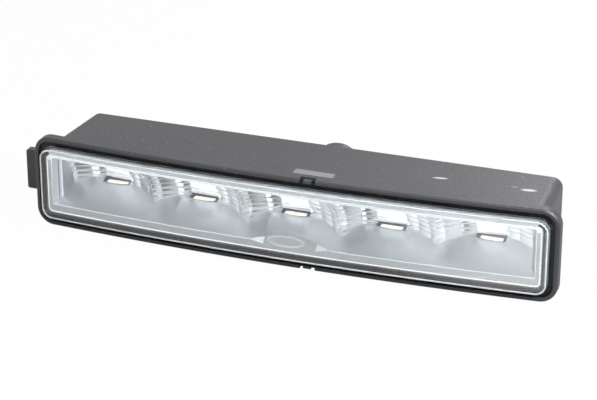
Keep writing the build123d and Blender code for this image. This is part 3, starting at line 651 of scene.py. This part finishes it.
bm = bmesh.new()
for middle in BOWLS:
    for left, right in zip(FLUTE_JOINS, FLUTE_JOINS[1:]):
        if left < 0 < right:
            continue
        for level, above in zip(ROW_LEVELS[1:], ROW_LEVELS[2:]):
            points = [flute_point(middle, left, right, k / ACROSS) for k in range(ACROSS + 1)]
            join_line(bm, [(x, y - lean(above) - SKIN, level) for x, y in points], LEVEL_CORNERS)
    for e in FLUTE_JOINS[1:-1]:
        x, y = bowl_corner(middle, e)
        for low, high in zip(ROW_LEVELS, ROW_LEVELS[1:]):
            join_line(bm, [(x, y - lean(high) - SKIN, z) for z in (low, high)], UPRIGHT_CORNERS)
trim_ends(bm)
add_piece("facet_joins", bm, scattering)

# Edge beads: the small radii round the window and round the rim, moulded with the reflector.
# They are coated and polished as the bowls are, and show as fine bright lines. The plaque interrupts the first.
PLAQUE_REACH = 13.8  # half the plaque's length with its folded ends
STRAIGHT_STEPS, CORNER_STEPS, BEAD_SIDES = 60, 6, 8


def quarter(x, z, radius, turn):
    """Points along a quarter circle that begins at turn degrees, each with its way outwards."""
    points = []
    for step in range(CORNER_STEPS + 1):
        angle = math.radians(turn + 90 * step / CORNER_STEPS)
        out = (math.cos(angle), math.sin(angle))
        points.append((x + radius * out[0], z + radius * out[1], out))
    return points


def edge_bead(name, material, half, low, high, corner, depth, radius, gap=None):
    """A thin round bead along a rounded rectangle on the bowed face, left out along a gap in its lower side."""
    start, stop = gap or (0.0, 0.0)
    run = half - corner
    share = [k / STRAIGHT_STEPS for k in range(STRAIGHT_STEPS + 1)]
    path = [(start + (run - start) * s, low, (0.0, -1.0)) for s in share[:-1]]
    path += quarter(run, low + corner, corner, -90) + quarter(run, high - corner, corner, 0)
    path += [(run - 2 * run * s, high, (0.0, 1.0)) for s in share[1:-1]]
    path += quarter(-run, high - corner, corner, 90) + quarter(-run, low + corner, corner, 180)
    path += [(-run + (stop + run) * s, low, (0.0, -1.0)) for s in (share[1:] if gap else share[1:-1])]
    bm = bmesh.new()
    rings = []
    for x, z, out in path:
        ring = []
        for k in range(BEAD_SIDES):
            turn = math.tau * k / BEAD_SIDES
            reach, lift = radius * math.cos(turn), radius * math.sin(turn)
            point = (x + reach * out[0], face_y(x) + depth - lift, z + reach * out[1])
            ring.append(bm.verts.new([c * MM for c in point]))
        rings.append(ring)
    join_rings(bm, rings, smooth=True, loop=gap is None)
    add_piece(name, bm, material)


edge_bead(
    "window_bead", polished, half=83.0, low=FLOOR_EDGE_Z, high=9.6, corner=0.5,
    depth=-0.05, radius=0.16, gap=(PLAQUE_X + PLAQUE_REACH, PLAQUE_X - PLAQUE_REACH),
)
edge_bead(
    "rim_bead", polished, half=84.55, low=-10.1, high=10.1, corner=1.5,
    depth=0.1, radius=0.36,
)

# Floor creases: where the floors of two bowls meet, a fine ridge runs from the cusp straight to the apron.
# They are part of the same moulding, left by the cutter as the facet joins are.
CREASE_CORNERS = ((-0.16, -0.1), (0, 0.06), (0.16, -0.1))
bm = bmesh.new()
for middle in BOWLS[:-1]:
    cusp, stop = bowl_corner(middle, LED_PITCH / 2)
    ends = []
    for y in (face_y(cusp), stop):
        points = [(cusp + across, y, floor_z(cusp, y) + up) for across, up in CREASE_CORNERS]
        ends.append([bm.verts.new([c * MM for c in point]) for point in points])
    join_rings(bm, ends, smooth=False)
add_piece("floor_creases", bm, scattering)

# Opening lips: ahead of each emitter the floor swells up and covers the front of its package, so that the
# opening that is left is a half moon. They are part of the same moulding, with the floor's satin coating.
LIP_HALF, LIP_FULL, LIP_TOP, LIP_WALL, LIP_EDGE = 8.5, 3.8, 0.12, 0.11, 0.02
LIP_BACK, LIP_ARC, LIP_KNEE, LIP_FOOT = -0.9, 2.4, -2.1, -9.2
LIP_ACROSS, LIP_ALONG = 36, 24


def ease(share):
    """1 at 0 and 0 at 1, level at both ends."""
    return 0.5 + 0.5 * math.cos(math.pi * share)


def lip_height(e, behind, drop):
    """Height of a lip above the floor, at e beside the emitter's middle and so far behind it."""
    swell = LIP_TOP - FLOOR_SLOPE * max(behind, LIP_KNEE) + drop
    if behind < LIP_KNEE:
        swell *= ease((LIP_KNEE - behind) / (LIP_KNEE - LIP_FOOT))
    return swell * ease(max(abs(e) - LIP_FULL, 0) / (LIP_HALF - LIP_FULL))


bm = bmesh.new()
for middle in BOWLS:
    drop = LED_LEVEL - floor_z(middle, row_y(middle))
    upper, lower = [], []
    for i in range(LIP_ACROSS + 1):
        e = LIP_HALF * (2 * i / LIP_ACROSS - 1)
        back = LIP_BACK + LIP_ARC * (e / LIP_HALF) ** 2
        for grid, sink in ((upper, 0.0), (lower, LIP_WALL)):
            line = []
            for j in range(LIP_ALONG + 1):
                behind = back + (LIP_FOOT - back) * j / LIP_ALONG
                x, y = middle + e, row_y(middle) + behind
                let_in = LIP_EDGE if i in (0, LIP_ACROSS) or j == LIP_ALONG else 0.0
                z = floor_z(x, y) + lip_height(e, behind, drop) - let_in - sink
                line.append(bm.verts.new([c * MM for c in (x, y, z)]))
            grid.append(line)
    for i in range(LIP_ACROSS):
        for j in range(LIP_ALONG):
            bm.faces.new((upper[i][j], upper[i][j + 1], upper[i + 1][j + 1], upper[i + 1][j])).smooth = True
            bm.faces.new((lower[i][j], lower[i + 1][j], lower[i + 1][j + 1], lower[i][j + 1]))
        for j in (0, LIP_ALONG):
            bm.faces.new((upper[i][j], upper[i + 1][j], lower[i + 1][j], lower[i][j]))
    for i in (0, LIP_ACROSS):
        for j in range(LIP_ALONG):
            bm.faces.new((upper[i][j], upper[i][j + 1], lower[i][j + 1], lower[i][j]))
add_piece("opening_lips", bm, coated)

# Oval border: two fine ribs round the middle of the plaque, whose field is bare.
# They are moulded with the reflector and left uncoated.
OVAL_X, OVAL_DEPTH, OVAL_Z, OVAL_LEAN = 0.9, 1.25, -7.0, math.radians(45)
OVAL_RINGS, OVAL_RIB = ((6.4, 1.85), (5.8, 1.5)), 0.15
OVAL_STEPS, OVAL_SIDES = 96, 6
# Uncoated polycarbonate, satin from the mould: a pale grey with a soft shine.
masked_grey = plain_finish(
    "masked_satin_polycarbonate", "#d6d9da", "#e0e3e4", roughness=0.4, metallic=0.0, spread=1.0, depth=0.01,
)
bm = bmesh.new()
for half, high in OVAL_RINGS:
    rings = []
    for step in range(OVAL_STEPS):
        turn = math.tau * step / OVAL_STEPS
        out = Vector((math.cos(turn) / half, math.sin(turn) / high)).normalized()
        ring = []
        for k in range(OVAL_SIDES):
            side = math.tau * k / OVAL_SIDES
            reach, lift = OVAL_RIB * math.cos(side), OVAL_RIB * math.sin(side)
            across = half * math.cos(turn) + reach * out.x
            along = high * math.sin(turn) + reach * out.y
            back = OVAL_DEPTH + along * math.cos(OVAL_LEAN) - lift * math.sin(OVAL_LEAN)
            z = OVAL_Z + along * math.sin(OVAL_LEAN) + lift * math.cos(OVAL_LEAN)
            ring.append(bm.verts.new([c * MM for c in (OVAL_X + across, face_y(OVAL_X) + back, z)]))
        rings.append(ring)
    join_rings(bm, rings, smooth=True, loop=True)
add_piece("oval_border", bm, masked_grey)

# Sealant: a bead of black butyl, laid hot in the housing's groove, which holds the lens and keeps water out.
# It is smooth where the skirt pressed it. Butyl is a deep black with a dim, wavy gloss.
dress("lens_seal", plain_finish(
    "black_butyl", "#09090a", "#0f0f11", roughness=0.3, metallic=0.0, spread=2.5, depth=0.08, shine=0.2,
))

# Lens: a shallow tray that closes the lamp, one moulding in clear polycarbonate.
# It is polished on both faces, and its skirt stands in the sealant.
HAZE, HAZE_LOW, HAZE_HIGH, HAZE_ROUGH = 12.0, 0.35, 0.75, 0.035


def clear_polycarbonate():
    """Moulded clear polycarbonate: see-through, with a trace of grey and a faint haze from handling."""
    material, tree = new_material("clear_polycarbonate")
    place = add_node(tree, "ShaderNodeTexCoord").outputs["Object"]
    haze = add_node(tree, "ShaderNodeTexNoise", {"Vector": place, "Scale": 1 / (HAZE * MM), "Detail": 5.0})
    rough = add_node(
        tree, "ShaderNodeMapRange", {0: haze.outputs[0], 1: HAZE_LOW, 2: HAZE_HIGH, 3: 0.0, 4: HAZE_ROUGH},
    )
    shader = add_node(
        tree, "ShaderNodeBsdfPrincipled",
        {
            "Base Color": linear("#fafcfc"), "Roughness": rough.outputs[0], "IOR": 1.585,
            "Transmission Weight": 1.0,
        },
    )
    add_node(tree, "ShaderNodeOutputMaterial", {0: shader.outputs[0]})
    return material


dress("lens", clear_polycarbonate())

# Lens lines: the parting line along the front edge, where the two mould halves meet, and two fine steps on the
# side wall behind it. They are part of the lens, drawn as pale beads: painted highlights where the lens's edges
# catch the light.
STEP_DEPTHS = (-0.4, -1.25)
# Pale half-matt polycarbonate: a painted highlight, a soft white line in the clear wall.
painted_highlight_clear = plain_finish(
    "satin_polycarbonate", "#d4d8da", "#e2e5e7", roughness=0.4, metallic=0.0, spread=1.2, depth=0.01,
)
edge_bead(
    "lens_parting_line_highlight", painted_highlight_clear, half=86.59, low=-12.14, high=12.14, corner=3.2,
    depth=-2.09, radius=0.28,
)
for number, depth in enumerate(STEP_DEPTHS, start=1):
    edge_bead(
        f"lens_step_highlight_{number}", painted_highlight_clear, half=86.86, low=-12.41, high=12.41,
        corner=3.46, depth=depth, radius=0.14,
    )

# Reflection band: a pale strip at the root of the lens's upper wall, seen through the lens's face.
# It is a painted reflection of the light inside the upper wall, in the same pale material, and runs nearly from
# end to end.
BAND_LOW, BAND_HIGH, BAND_FRONT, BAND_BACK, BAND_HALF = 10.75, 12.2, -0.9, -0.8, 83.5
BAND_CORNERS = ((BAND_FRONT, BAND_LOW), (BAND_BACK, BAND_LOW), (BAND_BACK, BAND_HIGH), (BAND_FRONT, BAND_HIGH))
BAND_STEPS = 60
bm = bmesh.new()
sections = []
for k in range(BAND_STEPS + 1):
    x = BAND_HALF * (2 * k / BAND_STEPS - 1)
    points = [(x, face_y(x) + back, z) for back, z in BAND_CORNERS]
    sections.append([bm.verts.new([c * MM for c in point]) for point in points])
join_rings(bm, sections, smooth=False)
add_piece("lens_painted_reflection_band", bm, painted_highlight_clear)

# Cable gland: a bush moulded in black rubber and pressed into the cable boss.
# Its flange stays outside and a bead inside holds it. Moulded rubber is nearly matt.
dress("cable_gland", plain_finish(
    "moulded_rubber", "#1d1d1e", "#262627", roughness=0.65, metallic=0.0, spread=0.9, depth=0.03,
))

# Breather cap: a round cap moulded in black nylon, which lets the lamp breathe.
# Its stem snaps into the back wall. Moulded nylon is a little shinier than the rubber.
dress("breather_cap", plain_finish(
    "moulded_black_nylon", "#222324", "#2d2e2f", roughness=0.5, metallic=0.0, spread=0.9, depth=0.02,
))

# Studio: the lamp stands at the front edge of a white table, in a room that its mirrors see.
# Seen directly or through the lens, table and room are plain white. One softbox stands near the right end of
# the lamp and one behind it.
TABLE_HALF, TABLE_FRONT, TABLE_BACK = 2.0, -0.047, 2.0
TABLE_PAINT, TABLE_SEEN, TABLE_GLEAM = "#9a9a9a", 0.97, 0.2
ROOM_DIM = 0.15
ROOM = (  # the way to each part of the room, the cosines where it begins and where it is full, and its level
    ((-0.63, -0.755, -0.18), 0.68, 0.82, 1.4),  # a bright wall at the front left
    ((0.9, -0.3, -0.3), 0.76, 0.95, 0.8),  # a paler wall at the right
    ((-0.04, -0.911, -0.41), 0.965, 0.998, 2.6),  # a round lamp, low in front
    ((0, 0, 1), -0.25, 0.5, 1.4),  # a white ceiling
    ((0, 1, 0), 0.0, 0.5, 1.0),  # a white cove behind
)


def straight_view(tree):
    """1 for what the camera sees directly or through the lens, 0 for what a mirror or a matt face sees."""
    path = add_node(tree, "ShaderNodeLightPath")
    turns = add_node(
        tree, "ShaderNodeMath",
        {0: path.outputs["Glossy Depth"], 1: path.outputs["Diffuse Depth"]}, operation="ADD",
    )
    straight = add_node(tree, "ShaderNodeMath", {0: turns.outputs[0], 1: 0.5}, operation="LESS_THAN")
    through = add_node(
        tree, "ShaderNodeMath",
        {0: straight.outputs[0], 1: path.outputs["Is Transmission Ray"]}, operation="MULTIPLY",
    )
    seen = add_node(
        tree, "ShaderNodeMath", {0: path.outputs["Is Camera Ray"], 1: through.outputs[0]}, operation="MAXIMUM",
    )
    return seen.outputs[0]


def white_laminate():
    """Matt white laminate that shows as pure white and keeps a trace of the lamp's shadow."""
    material, tree = new_material("matt_white_laminate")
    path = add_node(tree, "ShaderNodeLightPath")
    seen = add_node(tree, "ShaderNodeMath", {0: straight_view(tree), 1: TABLE_SEEN}, operation="MULTIPLY")
    gleam = add_node(
        tree, "ShaderNodeMath", {0: path.outputs["Is Glossy Ray"], 1: TABLE_GLEAM}, operation="MULTIPLY",
    )
    seen = add_node(tree, "ShaderNodeMath", {0: seen.outputs[0], 1: gleam.outputs[0]}, operation="MAXIMUM")
    paint = add_node(tree, "ShaderNodeBsdfDiffuse", {"Color": linear(TABLE_PAINT)})
    white = add_node(tree, "ShaderNodeEmission", {"Color": (1, 1, 1, 1), "Strength": 1.0})
    mixed = add_node(
        tree, "ShaderNodeMixShader", {0: seen.outputs[0], 1: paint.outputs[0], 2: white.outputs[0]},
    )
    add_node(tree, "ShaderNodeOutputMaterial", {0: mixed.outputs[0]})
    return material


def softbox(name, place, aim, width, height, watts, hex_colour):
    """A rectangular softbox at place, facing aim, in metres."""
    light = bpy.data.lights.new(name, "AREA")
    light.shape = "RECTANGLE"
    light.size, light.size_y = width, height
    light.energy = watts
    light.color = linear(hex_colour)[:3]
    holder = bpy.data.objects.new(name, light)
    holder.location = place
    holder.rotation_euler = (Vector(aim) - Vector(place)).to_track_quat("-Z", "Y").to_euler()
    scene.collection.objects.link(holder)


table_mesh = bpy.data.meshes.new("table")
table_corners = [
    (-TABLE_HALF, TABLE_FRONT, 0), (TABLE_HALF, TABLE_FRONT, 0),
    (TABLE_HALF, TABLE_BACK, 0), (-TABLE_HALF, TABLE_BACK, 0),
]
table_mesh.from_pydata(table_corners, [], [(0, 1, 2, 3)])
table_mesh.materials.append(white_laminate())
table = bpy.data.objects.new("table", table_mesh)
table.location = (0, 0, cad_low.z)
scene.collection.objects.link(table)

world = bpy.data.worlds.new("studio")
scene.world = world
world.use_nodes = True
room = world.node_tree
room.nodes.clear()
direction = add_node(room, "ShaderNodeTexCoord").outputs["Generated"]
mirrored = ROOM_DIM
for way, begin, full, level in ROOM:
    toward = add_node(room, "ShaderNodeVectorMath", {0: direction, 1: way}, operation="DOT_PRODUCT")
    lit = add_node(
        room, "ShaderNodeMapRange", {0: toward.outputs["Value"], 1: begin, 2: full, 3: ROOM_DIM, 4: level},
    )
    brighter = add_node(room, "ShaderNodeMath", {0: mirrored, 1: lit.outputs[0]}, operation="MAXIMUM")
    mirrored = brighter.outputs[0]
strength = add_node(room, "ShaderNodeMix", {"Factor": straight_view(room), 2: mirrored, 3: 1.0})
sky = add_node(room, "ShaderNodeBackground", {"Color": (1, 1, 1, 1), "Strength": strength.outputs[0]})
add_node(room, "ShaderNodeOutputWorld", {0: sky.outputs[0]})

softbox(
    "right_softbox", place=(0.36, -0.2, 0.34), aim=(0.07, -0.03, 0), width=0.25, height=0.25, watts=7.0,
    hex_colour="#f4f8ff",
)
softbox(
    "back_softbox", place=(0.05, 0.34, 0.2), aim=(0.08, -0.02, 0), width=0.1, height=0.1, watts=0.3,
    hex_colour="#ffffff",
)

# Camera: to the right of the lamp and above it, as far off as the photograph's perspective shows.
# Its focal length is given in pixels of the photograph's width.
AZIMUTH, ELEVATION = math.radians(20.2), math.radians(24.0)
DISTANCE = 706.4 * MM
AIM = Vector((4.0, -34.6, 6.7)) * MM
FOCAL_PIXELS, IMAGE_WIDTH = 2200, 597
camera_data = bpy.data.cameras.new("camera")
camera_data.sensor_width = 36.0
camera_data.lens = FOCAL_PIXELS * camera_data.sensor_width / IMAGE_WIDTH
camera = bpy.data.objects.new("camera", camera_data)
right = Vector((math.cos(AZIMUTH), math.sin(AZIMUTH), 0))
flat = Vector((-math.sin(AZIMUTH), math.cos(AZIMUTH), 0))
ahead = flat * math.cos(ELEVATION) - Vector((0, 0, math.sin(ELEVATION)))
turned = Matrix((right, right.cross(ahead), -ahead)).transposed().to_4x4()
camera.matrix_world = Matrix.Translation(AIM - DISTANCE * ahead) @ turned
scene.collection.objects.link(camera)
scene.camera = camera
